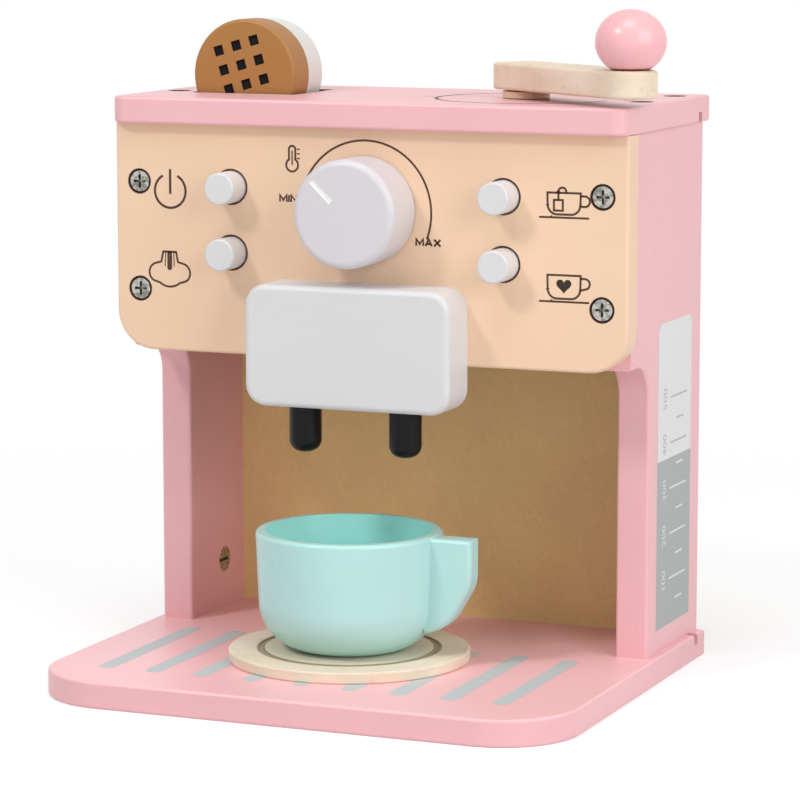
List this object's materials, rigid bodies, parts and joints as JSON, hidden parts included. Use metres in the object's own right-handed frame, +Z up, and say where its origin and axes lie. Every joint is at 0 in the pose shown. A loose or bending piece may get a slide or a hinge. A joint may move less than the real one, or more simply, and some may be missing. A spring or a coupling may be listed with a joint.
{
  "type": "toy coffee maker",
  "caption": "Wooden toy coffee maker with push buttons, turning dial and crank, a lift-out pod, and a cup on a saucer under the brew head.",
  "frame": {"origin": "middle of the underside of the base plate", "axes": "+X to the right seen from the front, +Y to the rear, +Z up; the front faces -Y"},
  "size_m": [0.2174, 0.172, 0.2514],
  "materials": {
    "wood_pink": "satin pink paint on board",
    "wood_natural": "bare brown board",
    "wood_cream": "satin cream lacquer on board",
    "wood_white": "satin white paint",
    "wood_black": "satin black paint",
    "wood_beech": "bare pale wood",
    "wood_brown": "satin brown paint",
    "wood_mint": "satin mint paint",
    "wood_knob": "glossy pink paint",
    "steel": "plated"
  },
  "bodies": {
    "housing": {"base_plate": "wood_pink", "left_side_panel": "wood_pink", "right_side_panel": "wood_pink", "top_plate": "wood_pink", "back_panel": "wood_natural", "control_panel": "wood_cream", "brew_head": "wood_white", "left_nozzle": "wood_black", "right_nozzle": "wood_black", "spring_power": "steel", "spring_steam": "steel", "spring_tea": "steel", "spring_coffee": "steel", "left_button_guide": "wood_natural", "right_button_guide": "wood_natural", "pod_cradle": "wood_natural", "panel_screws": "steel", "top_screws": "steel", "head_screws": "steel", "guide_screws": "steel", "cradle_screws": "steel", "base_bolts": "steel", "barrel_nuts": "steel", "base_dowels": "wood_beech"},
    "dial": {"dial_knob": "wood_white", "dial_shaft": "wood_beech", "dial_washer": "steel", "dial_screw": "steel"},
    "crank": {"crank_boss": "wood_beech", "crank_arm": "wood_beech", "crank_shaft_dowel": "wood_beech", "crank_washer_disc": "steel", "crank_screw": "steel", "crank_knob": "wood_knob", "knob_pin": "wood_beech"},
    "pod": {"pod_front": "wood_brown", "pod_rear": "wood_white"},
    "saucer": {"saucer": "wood_beech"},
    "cup": {"cup": "wood_mint"},
    "button_power": {"button_power": "wood_white"},
    "button_steam": {"button_steam": "wood_white"},
    "button_tea": {"button_tea": "wood_white"},
    "button_coffee": {"button_coffee": "wood_white"}
  },
  "joints": [
    {"name": "dial_turn", "type": "hinge", "parent": "housing", "child": "dial", "pos_m": [0, 0, 0.1767], "axis": [0, -1, 0], "range_deg": [-160, 30]},
    {"name": "crank_turn", "type": "hinge", "parent": "housing", "child": "crank", "pos_m": [0.0473, 0.036, 0.2165], "axis": [0, 0, 1], "continuous": true},
    {"name": "pod_lift", "type": "slide", "parent": "housing", "child": "pod", "axis": [0, 0, 1], "range_m": [0, 0.05]},
    {"name": "saucer_slide", "type": "slide", "parent": "housing", "child": "saucer", "axis": [0, -1, 0], "range_m": [0, 0.13]},
    {"name": "cup_slide", "type": "slide", "parent": "saucer", "child": "cup", "axis": [0, -1, 0], "range_m": [0, 0.13]},
    {"name": "power_press", "type": "slide", "parent": "housing", "child": "button_power", "axis": [0, 1, 0], "range_m": [0, 0.004], "stiffness_N_per_m": 300, "springref_m": -0.004, "deforming": ["spring_power"]},
    {"name": "steam_press", "type": "slide", "parent": "housing", "child": "button_steam", "axis": [0, 1, 0], "range_m": [0, 0.004], "stiffness_N_per_m": 300, "springref_m": -0.004, "deforming": ["spring_steam"]},
    {"name": "tea_press", "type": "slide", "parent": "housing", "child": "button_tea", "axis": [0, 1, 0], "range_m": [0, 0.004], "stiffness_N_per_m": 300, "springref_m": -0.004, "deforming": ["spring_tea"]},
    {"name": "coffee_press", "type": "slide", "parent": "housing", "child": "button_coffee", "axis": [0, 1, 0], "range_m": [0, 0.004], "stiffness_N_per_m": 300, "springref_m": -0.004, "deforming": ["spring_coffee"]}
  ]
}
